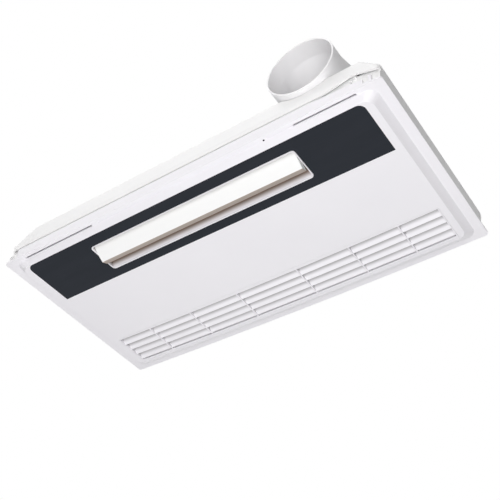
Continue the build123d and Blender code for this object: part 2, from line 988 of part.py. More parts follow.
# Mounting frame: a low band, sides that taper up to the deck, tabs at the ends and an inner
# lip along the near side
outer_shoulder = rectangle(
    level(frame_shoulder),
    -frame_half_length,
    frame_half_length,
    -frame_half_width,
    frame_half_width,
    frame_corner,
)
outer_deck = rectangle(
    level(deck_height),
    -frame_top_half_length,
    frame_top_half_length,
    -frame_top_half_width,
    frame_top_half_width,
    frame_corner,
)
inner_shoulder = rectangle(
    level(frame_shoulder),
    -tab_inner,
    tab_inner,
    -frame_half_width + frame_wall,
    frame_half_width - frame_wall,
    frame_corner - frame_wall,
)
inner_deck = rectangle(
    level(deck_height - frame_wall),
    -frame_top_half_length + frame_wall,
    frame_top_half_length - frame_wall,
    -frame_top_half_width + frame_wall,
    frame_top_half_width - frame_wall,
    frame_corner - frame_wall,
)
ledge_low = deck_height - 2 * frame_wall
ledge_room = rectangle(
    level(ledge_low),
    -frame_top_half_length + top_rim_width + ledge_end_width,
    frame_top_half_length - top_rim_width - ledge_end_width,
    -frame_top_half_width + top_rim_width + ledge_side_width,
    frame_top_half_width - top_rim_width - ledge_side_width,
)
plate_room = rectangle(
    level(deck_height - frame_wall),
    -frame_top_half_length + top_rim_width,
    frame_top_half_length - top_rim_width,
    -frame_top_half_width + top_rim_width,
    frame_top_half_width - top_rim_width,
)
tab_outline = rectangle(
    Plane.XY, -frame_half_width, frame_half_width - tab_setback, z(rim_thickness), z(frame_low)
)

# Lip behind the frame's band along the near side, kept within the frame's outside and slotted
# for the end walls of the panel's skirt
with BuildPart() as near_lip:
    lip_outline = rectangle(
        level(lip_low),
        -frame_half_length,
        frame_half_length,
        -lip_near,
        -lip_near + lip_thickness,
    )
    extrude(lip_outline, amount=frame_shoulder - lip_low)
    extrude(outer_shoulder, amount=lip_low - frame_shoulder, mode=Mode.INTERSECT)
    backing = rectangle(
        level(frame_shoulder),
        -frame_top_half_length + frame_corner,
        frame_top_half_length - frame_corner,
        -lip_near,
        -lip_near + lip_thickness,
    )
    extrude(backing, amount=lip_backing_high - frame_shoulder)
    for side in (-1, 1):
        wall_middle = side * (skirt_half_length - skirt_wall / 2)
        lip_slot = rectangle(
            level(lip_low),
            wall_middle - skirt_wall / 2 - insert_clearance,
            wall_middle + skirt_wall / 2 + insert_clearance,
            -lip_near,
            -lip_near + lip_thickness,
        )
        extrude(lip_slot, amount=skirt_height + insert_clearance - lip_low, mode=Mode.SUBTRACT)

with BuildPart() as mounting_frame:
    extrude(outer_shoulder, amount=frame_low - frame_shoulder)
    loft([outer_shoulder, outer_deck], ruled=True)
    extrude(inner_shoulder, amount=frame_low - frame_shoulder, mode=Mode.SUBTRACT)
    loft([inner_shoulder, inner_deck], ruled=True, mode=Mode.SUBTRACT)
    # top rim, and the ledge inside it that the base plate lies on
    extrude(outer_deck, amount=-2 * frame_wall)
    extrude(ledge_room, amount=2 * frame_wall, mode=Mode.SUBTRACT)
    extrude(plate_room, amount=frame_wall, mode=Mode.SUBTRACT)
    # end tabs that stand on the panel's rim, rounded at the far lower corner
    for start in (-frame_half_length, tab_inner):
        with BuildSketch(end_plane(start)) as tab:
            add(tab_outline)
            fillet(tab.vertices().group_by(Axis.Y)[-1].sort_by(Axis.Z)[0], tab_corner)
        extrude(tab.sketch, amount=frame_wall)
    add(near_lip.part)
    # recess in the band's lower edge near the duct end, with two pegs in it
    recess_start = frame_half_length - frame_notch_start
    recess_top = recess_start + frame_notch_run
    with BuildSketch(duct_plane(frame_half_width)):
        with BuildLine():
            Polyline(
                (recess_start, z(frame_low)),
                (recess_top, z(frame_shoulder)),
                (recess_top + frame_notch_flat, z(frame_shoulder)),
                (frame_half_length - frame_notch_end, z(frame_low)),
                close=True,
            )
        make_face()
    extrude(amount=-frame_wall, mode=Mode.SUBTRACT)
    for inset, height in zip(peg_insets, peg_heights):
        with BuildSketch(duct_plane(lip_near)):
            with Locations((frame_half_length - inset, z(height))):
                Circle(peg_radius)
        extrude(amount=peg_length)
    # screw holes
    with BuildSketch(level(deck_height)):
        with Locations(*casing_screw_places):
            Circle(screw_radius)
        with Locations(*visible_screw_places):
            Circle(visible_screw_shank)
    extrude(amount=-2 * frame_wall, mode=Mode.SUBTRACT)
    # saddle under the duct adapter
    add(adapter_room, mode=Mode.SUBTRACT)
save(mounting_frame, "mounting_frame")

# Base plate of the casing, let into the frame's top rim
with BuildPart() as base_plate:
    plate = rectangle(
        level(deck_height),
        -frame_top_half_length + top_rim_width + base_clearance,
        frame_top_half_length - top_rim_width - base_clearance,
        -frame_top_half_width + top_rim_width + base_clearance,
        frame_top_half_width - top_rim_width - base_clearance,
    )
    extrude(plate, amount=-frame_wall)
    with BuildSketch(level(deck_height)):
        with Locations((0, -(deck_opening_near + deck_opening_far) / 2)):
            Rectangle(2 * deck_opening_half_length, deck_opening_width)
        with Locations((fan_x, fan_y)):
            Circle(deck_inlet_radius)
        with Locations((damper_x, damper_y)):
            Circle(damper_shaft_radius + running_clearance)
        with Locations(*casing_screw_places):
            Circle(screw_radius)
    extrude(amount=-frame_wall, mode=Mode.SUBTRACT)
    # square notch under the duct adapter
    notch = rectangle(
        level(deck_height),
        collar_x - adapter_length / 2 - saddle_extra,
        collar_x + adapter_length / 2 + saddle_extra,
        -frame_top_half_width,
        -adapter_face - notch_margin,
    )
    extrude(notch, amount=-frame_wall, mode=Mode.SUBTRACT)
    add(adapter_room, mode=Mode.SUBTRACT)
save(base_plate, "base_plate")

# Dark screws that show on the near edge of the frame's top rim
with BuildPart() as frame_screws:
    with BuildSketch(level(deck_height)):
        with Locations(*visible_screw_places):
            Circle(visible_screw_radius)
    extrude(amount=visible_screw_height)
    with BuildSketch(level(deck_height)):
        with Locations(*visible_screw_places):
            Circle(visible_screw_shank)
    extrude(amount=-frame_wall)
save(frame_screws, "frame_screws")

# Duct from the deck down to the outlet's throat, narrowing upward, with straightening vanes
duct_top = deck_height - frame_wall
duct_low_outer = rectangle(
    level(throat_top),
    -throat_half_length - duct_sheet,
    throat_half_length + duct_sheet,
    inner_near - duct_sheet,
    -throat_far + duct_sheet,
)
duct_top_outer = rectangle(
    level(duct_top),
    -deck_opening_half_length - duct_sheet,
    deck_opening_half_length + duct_sheet,
    -deck_opening_near - duct_sheet,
    -deck_opening_far + duct_sheet,
)
duct_low_inner = rectangle(
    level(throat_top), -throat_half_length, throat_half_length, inner_near, -throat_far
)
duct_top_inner = rectangle(
    level(duct_top),
    -deck_opening_half_length,
    deck_opening_half_length,
    -deck_opening_near,
    -deck_opening_far,
)
with BuildPart() as outlet_duct:
    loft([duct_low_outer, duct_top_outer], ruled=True)
    duct_flange = rectangle(
        level(duct_top),
        -deck_opening_half_length - duct_foot,
        deck_opening_half_length + duct_foot,
        -deck_opening_near - duct_foot,
        -deck_opening_far + duct_foot,
    )
    extrude(duct_flange, amount=-duct_sheet)
    loft([duct_low_inner, duct_top_inner], ruled=True, mode=Mode.SUBTRACT)
    for place in vane_places:
        with BuildSketch(end_plane(place - duct_sheet / 2)):
            with BuildLine():
                Polyline(
                    (inner_near, z(throat_top)),
                    (-throat_far, z(throat_top)),
                    (-deck_opening_far, z(duct_top)),
                    (-deck_opening_near, z(duct_top)),
                    close=True,
                )
            make_face()
        extrude(amount=duct_sheet)
save(outlet_duct, "outlet_duct")

# Casing walls of sheet: the near one has the opening of the duct adapter, the far one the
# hole of the cable inlet, and the two ends are folded with a foot and two side flanges
wall_top = casing_height - sheet
wall_height = wall_top - deck_height
inner_half_length = casing_half_length - sheet
inner_near_y = -casing_near + sheet
inner_far_y = casing_far - sheet
with BuildPart() as casing_near_wall:
    wall = rectangle(
        level(deck_height), -casing_half_length, casing_half_length, -casing_near, inner_near_y
    )
    extrude(wall, amount=wall_height)
    with BuildSketch(duct_plane(casing_near)):
        with Locations((collar_x, z(adapter_z))):
            RectangleRounded(adapter_length, adapter_height, adapter_corner)
        with Locations(*adapter_screw_places):
            Circle(screw_radius)
        with Locations(*lid_screw_places):
            Circle(screw_radius)
    extrude(amount=-sheet, mode=Mode.SUBTRACT)
save(casing_near_wall, "casing_near_wall")

with BuildPart() as casing_far_wall:
    wall = rectangle(
        level(deck_height), -casing_half_length, casing_half_length, inner_far_y, casing_far
    )
    extrude(wall, amount=wall_height)
    with BuildSketch(duct_plane(-casing_far)):
        with Locations((inlet_x, z(inlet_z))):
            Circle(inlet_sleeve)
        with Locations(*lid_screw_places):
            Circle(screw_radius)
    extrude(amount=sheet, mode=Mode.SUBTRACT)
save(casing_far_wall, "casing_far_wall")

for name, side in (("casing_left_end", -1), ("casing_right_end", 1)):
    with BuildPart() as casing_end:
        end_wall = rectangle(
            level(deck_height),
            side * (casing_half_length - sheet / 2) - sheet / 2,
            side * (casing_half_length - sheet / 2) + sheet / 2,
            inner_near_y,
            inner_far_y,
        )
        extrude(end_wall, amount=wall_height)
        foot = rectangle(
            level(deck_height),
            side * casing_screw_x - casing_flange / 2,
            side * casing_screw_x + casing_flange / 2,
            inner_near_y,
            inner_far_y,
        )
        extrude(foot, amount=sheet)
        for y in (inner_near_y, inner_far_y - sheet):
            side_flange = rectangle(
                level(deck_height),
                side * (inner_half_length - casing_return / 2) - casing_return / 2,
                side * (inner_half_length - casing_return / 2) + casing_return / 2,
                y,
                y + sheet,
            )
            extrude(side_flange, amount=air_height - deck_height)
        with BuildSketch(level(deck_height)):
            with Locations(*casing_screw_places):
                Circle(screw_radius)
        extrude(amount=sheet, mode=Mode.SUBTRACT)
        with BuildSketch(duct_plane(-inner_near_y)):
            with Locations(*adapter_screw_places):
                Circle(screw_radius)
        extrude(amount=-sheet, mode=Mode.SUBTRACT)
    save(casing_end, name)

# Screws that hold the casing down on the deck
with BuildPart() as casing_screws:
    with BuildSketch(level(deck_height + sheet)):
        with Locations(*casing_screw_places):
            Circle(screw_head_radius)
    extrude(amount=screw_head_height)
    with BuildSketch(level(deck_height + sheet)):
        with Locations(*casing_screw_places):
            Circle(screw_radius)
    extrude(amount=-sheet - 2 * frame_wall)
save(casing_screws, "casing_screws")

# Casing lid, a shallow tray turned over the walls
lid_outer_x = casing_half_length + lid_clearance + sheet
lid_near_y = -casing_near - lid_clearance - sheet
lid_far_y = casing_far + lid_clearance + sheet
with BuildPart() as casing_lid:
    lid_outline = rectangle(level(casing_height), -lid_outer_x, lid_outer_x, lid_near_y, lid_far_y)
    extrude(lid_outline, amount=-lid_lip)
    lid_hollow = rectangle(
        level(wall_top),
        -lid_outer_x + sheet,
        lid_outer_x - sheet,
        lid_near_y + sheet,
        lid_far_y - sheet,
    )
    extrude(lid_hollow, amount=sheet - lid_lip, mode=Mode.SUBTRACT)
    with BuildSketch(duct_plane(-lid_near_y)):
        with Locations(*lid_screw_places):
            Circle(screw_radius)
    extrude(amount=lid_near_y - lid_far_y, mode=Mode.SUBTRACT)
save(casing_lid, "casing_lid")

# Screws of the lid, through its lips into the casing's walls
with BuildPart() as lid_screws:
    for start, outward in ((-lid_near_y, 1), (-lid_far_y, -1)):
        with BuildSketch(duct_plane(start)):
            with Locations(*lid_screw_places):
                Circle(screw_head_radius)
        extrude(amount=outward * screw_head_height)
        with BuildSketch(duct_plane(start)):
            with Locations(*lid_screw_places):
                Circle(screw_radius)
        extrude(amount=-outward * (4 * sheet + lid_clearance))
save(lid_screws, "lid_screws")

# Hanging brackets: an upright leg on the casing's end and an ear with two bolt holes
ear_far = hang_spacing_y / 2 + ear_margin
ear_middle_x = casing_half_length + ear_reach / 2
for name, side in (("hanging_bracket_left", -1), ("hanging_bracket_right", 1)):
    with BuildPart() as hanging_bracket:
        leg = rectangle(
            level(hang_height),
            side * (casing_half_length + ear_thickness / 2) - ear_thickness / 2,
            side * (casing_half_length + ear_thickness / 2) + ear_thickness / 2,
            -casing_near,
            ear_far,
        )
        extrude(leg, amount=ear_plate_height)
        with BuildSketch(level(hang_height)) as ear:
            with Locations((side * ear_middle_x, (ear_far - casing_near) / 2)):
                Rectangle(ear_reach, ear_far + casing_near)
            fillet(ear.vertices().group_by(Axis.X)[side], ear_margin / 2)
            with Locations(
                (side * hang_spacing_x / 2, -hang_spacing_y / 2),
                (side * hang_spacing_x / 2, hang_spacing_y / 2),
            ):
                Circle(hang_hole_radius, mode=Mode.SUBTRACT)
        extrude(amount=ear_thickness)
    save(hanging_bracket, name)

# Air cover: the plate that closes the air chamber and carries the blower's motor
motor_hole_radius = motor_radius + motor_hole_clearance
with BuildPart() as air_cover:
    cover = rectangle(
        level(air_height),
        -inner_half_length + lid_clearance,
        inner_half_length - lid_clearance,
        inner_near_y + lid_clearance,
        inner_far_y - lid_clearance,
    )
    extrude(cover, amount=sheet)
    with BuildSketch(level(air_height)):
        with Locations((fan_x, fan_y)):
            Circle(motor_hole_radius)
        with Locations(*motor_ear_places):
            Circle(screw_radius)
        with Locations((damper_x, damper_y)):
            Circle(damper_shaft_radius + running_clearance)
    extrude(amount=sheet, mode=Mode.SUBTRACT)
save(air_cover, "air_cover")

# Blower scroll: a volute of four arcs of growing radius, open towards the plenum
volute_angle = math.radians(volute_start)
tongue = Vector(
    fan_x + volute_radius * math.cos(volute_angle),
    fan_y + volute_radius * math.sin(volute_angle),
)
with BuildPart() as blower_scroll:
    with BuildSketch(level(deck_height)):
        with BuildLine():
            position = tongue
            direction = Vector(-math.sin(volute_angle), math.cos(volute_angle))
            for index in range(volute_arcs):
                arc_radius = volute_radius + volute_growth * (index + 0.5) / volute_arcs
                volute_arc = JernArc(position, direction, arc_radius, volute_sweep / volute_arcs)
                position = volute_arc @ 1
                direction = volute_arc % 1
            scroll_mouth = Line(position, (position.X, divider_y + duct_sheet))
        trace(line_width=duct_sheet)
        with Locations((tongue.X, (tongue.Y + divider_y + duct_sheet) / 2)):
            Rectangle(duct_sheet, tongue.Y - divider_y - duct_sheet)
        with Locations(tongue):
            Circle(duct_sheet)
    extrude(amount=air_height - deck_height)
save(blower_scroll, "blower_scroll")
mouth_left = (scroll_mouth @ 1).X - duct_sheet / 2
mouth_right = tongue.X + duct_sheet / 2

# Walls that part the plenum from the rest of the casing
with BuildPart() as plenum_wall_left:
    wall = rectangle(
        level(deck_height), plenum_left, mouth_left + duct_sheet, divider_y, divider_y + duct_sheet
    )
    extrude(wall, amount=air_height - deck_height)
    end_wall = rectangle(
        level(deck_height), plenum_left, plenum_left + duct_sheet, inner_near_y, divider_y
    )
    extrude(end_wall, amount=air_height - deck_height)
save(plenum_wall_left, "plenum_wall_left")

with BuildPart() as plenum_wall_right:
    wall = rectangle(
        level(deck_height),
        mouth_right - duct_sheet,
        inner_half_length - casing_flange,
        divider_y,
        divider_y + duct_sheet,
    )
    extrude(wall, amount=air_height - deck_height)
    wall_end = rectangle(
        level(deck_height + sheet),
        inner_half_length - casing_flange,
        inner_half_length,
        divider_y,
        divider_y + duct_sheet,
    )
    extrude(wall_end, amount=air_height - deck_height - sheet)
save(plenum_wall_right, "plenum_wall_right")

# Inlet ring: bell mouth from the deck up to the wheel
inlet_lip = wheel_low - inlet_lip_gap
bell_radius = deck_inlet_radius - inlet_radius
bell_x = fan_x + deck_inlet_radius
bell_z = z(deck_height + sheet) + bell_radius
with BuildPart() as inlet_ring:
    with BuildSketch(Plane.XZ.offset(-fan_y)):
        with BuildLine():
            CenterArc((bell_x, bell_z), bell_radius, 180, 90)
            CenterArc((bell_x, bell_z), bell_radius + sheet, 180, 90)
            Polyline(
                (bell_x - bell_radius - sheet, bell_z),
                (bell_x - bell_radius - sheet, z(inlet_lip)),
                (bell_x - bell_radius, z(inlet_lip)),
                (bell_x - bell_radius, bell_z),
            )
            Polyline(
                (bell_x, z(deck_height + sheet)),
                (fan_x + inlet_flange_radius, z(deck_height + sheet)),
                (fan_x + inlet_flange_radius, z(deck_height)),
                (bell_x, z(deck_height)),
            )
        make_face()
    revolve(axis=Axis((fan_x, fan_y, 0), (0, 0, 1)))
save(inlet_ring, "inlet_ring")

# Blower wheel: forward-curved blades between an inlet ring and a back plate with a hub
wheel_top = wheel_low + wheel_height
motor_low = wheel_top + motor_gap
wheel_plane = Plane(origin=(fan_x, fan_y, z(wheel_low)))
blade_end_turn = math.radians(wheel_blade_turn)
blade_bulge_turn = math.radians(wheel_blade_bulge)
blade_bulge_radius = (wheel_inner_radius + wheel_radius) / 2
blade_tip_radius = wheel_radius - wheel_blade_sheet / 2
with BuildSketch() as wheel_blade:
    with BuildLine():
        ThreePointArc(
            (wheel_inner_radius, 0),
            (
                blade_bulge_radius * math.cos(blade_bulge_turn),
                blade_bulge_radius * math.sin(blade_bulge_turn),
            ),
            (
                blade_tip_radius * math.cos(blade_end_turn),
                blade_tip_radius * math.sin(blade_end_turn),
            ),
        )
    trace(line_width=wheel_blade_sheet)
with BuildPart() as wheel_blades:
    with BuildSketch(wheel_plane.offset(wheel_sheet)):
        with PolarLocations(0, wheel_blade_count):
            add(wheel_blade.sketch)
    extrude(amount=wheel_height - 2 * wheel_sheet)
save(wheel_blades, "wheel_blades")

# Ring at the wheel's open end
with BuildPart() as wheel_ring:
    with BuildSketch(wheel_plane):
        Circle(wheel_radius)
        Circle(wheel_ring_radius, mode=Mode.SUBTRACT)
    extrude(amount=wheel_sheet)
save(wheel_ring, "wheel_ring")

# Back plate of the wheel, with its hub
with BuildPart() as wheel_back_plate:
    with BuildSketch(wheel_plane.offset(wheel_height)):
        Circle(wheel_radius)
    extrude(amount=-wheel_sheet)
    with BuildSketch(wheel_plane.offset(wheel_height)):
        Circle(hub_radius)
    extrude(amount=-hub_depth)
    with BuildSketch(wheel_plane.offset(wheel_height)):
        Circle(shaft_radius)
    extrude(amount=-hub_depth, mode=Mode.SUBTRACT)
save(wheel_back_plate, "wheel_back_plate")

# Motor shaft through the wheel's hub
hub_low = wheel_top - hub_depth
with BuildPart() as motor_shaft:
    with BuildSketch(level(hub_low - shaft_below_hub)):
        with Locations((fan_x, fan_y)):
            Circle(shaft_radius)
    extrude(amount=motor_low + motor_bore_depth - sheet - hub_low + shaft_below_hub)
save(motor_shaft, "motor_shaft")

# Nut that holds the wheel on the shaft
with BuildPart() as wheel_nut:
    with BuildSketch(level(hub_low)):
        with Locations((fan_x, fan_y)):
            RegularPolygon(nut_width / 2, 6, major_radius=False)
            Circle(shaft_radius, mode=Mode.SUBTRACT)
    extrude(amount=-nut_height)
save(wheel_nut, "wheel_nut")

# Blower motor: a round can with three ears that hang on rubber bushes
ear_low = air_height + sheet + bush_height
with BuildPart() as blower_motor:
    with BuildSketch(level(motor_low)):
        with Locations((fan_x, fan_y)):
            Circle(motor_radius)
    extrude(amount=motor_height)
    fillet(blower_motor.edges().group_by(Axis.Z)[-1], motor_edge)
    with BuildSketch(level(ear_low)):
        for angle, place in zip(motor_ear_angles, motor_ear_places):
            middle = (
                (place[0] + fan_x) / 2,
                (place[1] + fan_y) / 2,
            )
            with Locations(place):
                Circle(motor_ear_width / 2)
            with Locations(middle):
                Rectangle(motor_ear_radius, motor_ear_width, rotation=angle)
    extrude(amount=ear_thickness)
    with BuildSketch(level(ear_low)):
        with Locations(*motor_ear_places):
            Circle(screw_radius)
    extrude(amount=ear_thickness, mode=Mode.SUBTRACT)
    with BuildSketch(level(motor_low)):
        with Locations((fan_x, fan_y)):
            Circle(shaft_radius + running_clearance)
    extrude(amount=motor_bore_depth, mode=Mode.SUBTRACT)
save(blower_motor, "blower_motor")

# Rubber bushes between the air cover and the motor's ears
with BuildPart() as motor_bushes:
    with BuildSketch(level(air_height + sheet)):
        with Locations(*motor_ear_places):
            Circle(bush_radius)
            Circle(screw_radius, mode=Mode.SUBTRACT)
    extrude(amount=bush_height)
save(motor_bushes, "motor_bushes")

# Screws of the blower motor
with BuildPart() as motor_screws:
    with BuildSketch(level(ear_low + ear_thickness)):
        with Locations(*motor_ear_places):
            Circle(screw_head_radius)
    extrude(amount=screw_head_height)
    with BuildSketch(level(ear_low + ear_thickness)):
        with Locations(*motor_ear_places):
            Circle(screw_radius)
    extrude(amount=-ear_thickness - bush_height - 3 * sheet)
save(motor_screws, "motor_screws")

# Exhaust damper: a flap on an upright shaft, closed across the plenum
damper_low = deck_height + damper_rise
damper_high = air_height - damper_rise
damper_length = damper_y - inner_near_y - damper_gap
with BuildPart() as exhaust_damper:
    flap = rectangle(
        level(damper_low),
        damper_x - damper_thickness / 2,
        damper_x + damper_thickness / 2,
        damper_y - damper_length,
        damper_y + damper_heel,
    )
    extrude(flap, amount=damper_high - damper_low)
    with BuildSketch(level(deck_height - frame_wall)):
        with Locations((damper_x, damper_y)):
            Circle(damper_shaft_radius)
    extrude(amount=air_height + damper_motor_height / 2 - deck_height + frame_wall)
save(exhaust_damper, "exhaust_damper")

# Motor of the damper, on the air cover
with BuildPart() as damper_motor:
    with BuildSketch(level(air_height + sheet)):
        with Locations((damper_x, damper_y)):
            Circle(damper_motor_radius)
    extrude(amount=damper_motor_height)
    fillet(damper_motor.edges().group_by(Axis.Z)[-1], damper_motor_edge)
    with BuildSketch(level(air_height + sheet)):
        with Locations((damper_x, damper_y)):
            Circle(damper_shaft_radius + running_clearance)
    extrude(amount=damper_motor_height / 2 + sheet, mode=Mode.SUBTRACT)
save(damper_motor, "damper_motor")

# Heater frame round the opening in the deck
heater_outer_x = deck_opening_half_length + heater_end_wall
with BuildPart() as heater_frame:
    outer = rectangle(
        level(deck_height),
        -heater_outer_x,
        heater_outer_x,
        -deck_opening_near - heater_side_wall,
        -deck_opening_far + heater_side_wall,
    )
    extrude(outer, amount=heater_height)
    inner = rectangle(
        level(deck_height),
        -deck_opening_half_length,
        deck_opening_half_length,
        -deck_opening_near,
        -deck_opening_far,
    )
    extrude(inner, amount=heater_height, mode=Mode.SUBTRACT)
save(heater_frame, "heater_frame")

# Ceramic end blocks of the heater
block_low = deck_height + heater_inset
block_height = heater_height - 2 * heater_inset
block_start = deck_opening_half_length - heater_block
opening_middle = -(deck_opening_near + deck_opening_far) / 2
with BuildPart() as heater_ends:
    with BuildSketch(level(block_low)):
        with Locations(
            (-block_start - heater_block / 2, opening_middle),
            (block_start + heater_block / 2, opening_middle),
        ):
            Rectangle(heater_block, deck_opening_width - 2 * heater_inset)
    extrude(amount=block_height)
save(heater_ends, "heater_ends")

# Heater core: flat heating bars through a row of fins
bar_pitch = deck_opening_width / bar_count
fin_pitch = 2 * block_start / (fin_count + 1)
with BuildPart() as heater_core:
    with BuildSketch(level(deck_height + (heater_height - bar_height) / 2)):
        with Locations((0, opening_middle)):
            with GridLocations(1, bar_pitch, 1, bar_count):
                Rectangle(2 * block_start, bar_width)
    extrude(amount=bar_height)
    with BuildSketch(level(deck_height + (heater_height - fin_height) / 2)):
        with Locations((0, opening_middle)):
            with GridLocations(fin_pitch, 1, fin_count, 1):
                Rectangle(fin_thickness, deck_opening_width - 2 * heater_inset)
    extrude(amount=fin_height)
save(heater_core, "heater_core")

# Thermal cut-out on the heater frame's left end
with BuildPart() as thermal_cutout:
    with BuildSketch(end_plane(-heater_outer_x)):
        with Locations((opening_middle, z(deck_height + heater_height / 2))):
            Circle(cutout_radius)
    extrude(amount=-cutout_depth)
save(thermal_cutout, "thermal_cutout")

# Control box: a tray on the base plate with four standoffs and a cable hole
board_left = box_left + board_end_margin
board_right = box_right - board_end_margin
board_near = box_near + board_near_margin
board_far = board_near + board_width
standoff_places = [
    (x, y)
    for x in (board_left + 2 * standoff_radius, board_right - 2 * standoff_radius)
    for y in (board_near + 2 * standoff_radius, board_far - 2 * standoff_radius)
]
box_floor = deck_height + box_wall
box_walls_top = box_high - box_wall
with BuildPart() as control_box:
    outer = rectangle(level(deck_height), box_left, box_right, box_near, box_far)
    extrude(outer, amount=box_walls_top - deck_height)
    inner = rectangle(
        level(box_floor),
        box_left + box_wall,
        box_right - box_wall,
        box_near + box_wall,
        box_far - box_wall,
    )
    extrude(inner, amount=box_walls_top - box_floor, mode=Mode.SUBTRACT)
    with BuildSketch(level(box_floor)):
        with Locations(*standoff_places):
            Circle(standoff_radius)
    extrude(amount=standoff_height)
    with BuildSketch(duct_plane(-box_far)):
        with Locations((inlet_x, z(inlet_z))):
            Circle(inlet_sleeve)
    extrude(amount=box_wall, mode=Mode.SUBTRACT)
save(control_box, "control_box")

# Cover of the control box
with BuildPart() as control_box_cover:
    cover = rectangle(level(box_walls_top), box_left, box_right, box_near, box_far)
    extrude(cover, amount=box_wall)
    rim = rectangle(
        level(box_walls_top),
        box_left + box_wall + lid_clearance,
        box_right - box_wall - lid_clearance,
        box_near + box_wall + lid_clearance,
        box_far - box_wall - lid_clearance,
    )
    extrude(rim, amount=-box_wall)
    recess = rectangle(
        level(box_walls_top),
        box_left + 2 * box_wall + lid_clearance,
        box_right - 2 * box_wall - lid_clearance,
        box_near + 2 * box_wall + lid_clearance,
        box_far - 2 * box_wall - lid_clearance,
    )
    extrude(recess, amount=-box_wall, mode=Mode.SUBTRACT)
save(control_box_cover, "control_box_cover")

# Control board with its relays, transformer and plugs
board_low = box_floor + standoff_height
board_top = board_low + board_thickness
with BuildPart() as control_board:
    board = rectangle(level(board_low), board_left, board_right, board_near, board_far)
    extrude(board, amount=board_thickness)
    with BuildSketch(level(board_top)):
        with Locations((board_left + relay_row_inset, board_far - relay_width)):
            with GridLocations(relay_pitch, 1, board_row_count, 1):
                Rectangle(relay_length, relay_width)
    extrude(amount=relay_height)
    with BuildSketch(level(board_top)):
        with Locations((board_left + transformer_width, board_near + transformer_width)):
            Rectangle(transformer_length, transformer_width)
    extrude(amount=transformer_height)
    with BuildSketch(level(board_top)):
        with Locations((board_right - plug_row_inset, board_near + plug_length)):
            with GridLocations(plug_pitch, 1, board_row_count, 1):
                Rectangle(plug_length, plug_width)
    extrude(amount=plug_height)
save(control_board, "control_board")

# Terminal block for the supply
terminal_place = (inlet_x - terminal_width, box_far - terminal_inset)
terminal_pitch = (terminal_length - terminal_wall) / terminal_ways
with BuildPart() as terminal_block:
    with BuildSketch(level(box_floor)):
        with Locations(terminal_place):
            Rectangle(terminal_length, terminal_width)
    extrude(amount=terminal_height)
    with BuildSketch(level(box_floor + terminal_height)):
        with Locations(terminal_place):
            with GridLocations(terminal_pitch, 1, terminal_ways + 1, 1):
                Rectangle(terminal_wall, terminal_width)
    extrude(amount=terminal_wall_rise)
save(terminal_block, "terminal_block")

# Run capacitor of the blower motor
with BuildPart() as run_capacitor:
    with BuildSketch(level(box_floor)):
        with Locations((box_left + capacitor_end_inset, box_far - capacitor_inset)):
            RectangleRounded(capacitor_length, capacitor_width, capacitor_corner)
    extrude(amount=capacitor_height)
    fillet(run_capacitor.edges().group_by(Axis.Z)[-1], capacitor_edge)
save(run_capacitor, "run_capacitor")

# Cable inlet: a rubber bush in the casing's far wall, with a rim outside
with BuildPart() as cable_inlet:
    with BuildSketch(duct_plane(-casing_far - inlet_length / 2)):
        with Locations((inlet_x, z(inlet_z))):
            Circle(inlet_sleeve)
    extrude(amount=inlet_length)
    with BuildSketch(duct_plane(-casing_far)):
        with Locations((inlet_x, z(inlet_z))):
            Circle(inlet_rim)
    extrude(amount=-inlet_length / 2)
    fillet(cable_inlet.edges().group_by(Axis.Y)[-1], inlet_edge)
    with BuildSketch(duct_plane(-casing_far - inlet_length / 2)):
        with Locations((inlet_x, z(inlet_z))):
            Circle(inlet_bore)
    extrude(amount=inlet_length, mode=Mode.SUBTRACT)
save(cable_inlet, "cable_inlet")
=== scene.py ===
import json
import math

import bmesh
import bpy
from mathutils import Matrix, Vector


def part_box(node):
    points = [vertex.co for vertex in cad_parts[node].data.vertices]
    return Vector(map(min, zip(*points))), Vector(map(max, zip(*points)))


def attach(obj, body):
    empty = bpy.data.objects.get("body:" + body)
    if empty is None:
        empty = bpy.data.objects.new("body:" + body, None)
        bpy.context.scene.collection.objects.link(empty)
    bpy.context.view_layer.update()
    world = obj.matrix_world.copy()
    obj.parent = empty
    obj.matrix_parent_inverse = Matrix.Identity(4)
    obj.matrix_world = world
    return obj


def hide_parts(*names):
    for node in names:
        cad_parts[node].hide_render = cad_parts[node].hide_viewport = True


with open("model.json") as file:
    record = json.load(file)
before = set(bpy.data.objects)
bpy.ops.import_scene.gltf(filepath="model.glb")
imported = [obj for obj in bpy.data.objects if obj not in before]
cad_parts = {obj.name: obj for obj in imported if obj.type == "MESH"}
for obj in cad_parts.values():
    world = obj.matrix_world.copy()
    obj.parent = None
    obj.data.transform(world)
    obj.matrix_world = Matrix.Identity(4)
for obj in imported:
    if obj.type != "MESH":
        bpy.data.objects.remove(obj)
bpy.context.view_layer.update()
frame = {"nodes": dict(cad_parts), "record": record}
nodes = frame["nodes"]
slotOf = {part["node"]: part["material_slot"] for part in frame["record"]["subparts"]}
scene = bpy.context.scene
scene.view_settings.view_transform = "Standard"
mm = 0.001
print("frame loaded:", len(nodes), "nodes")


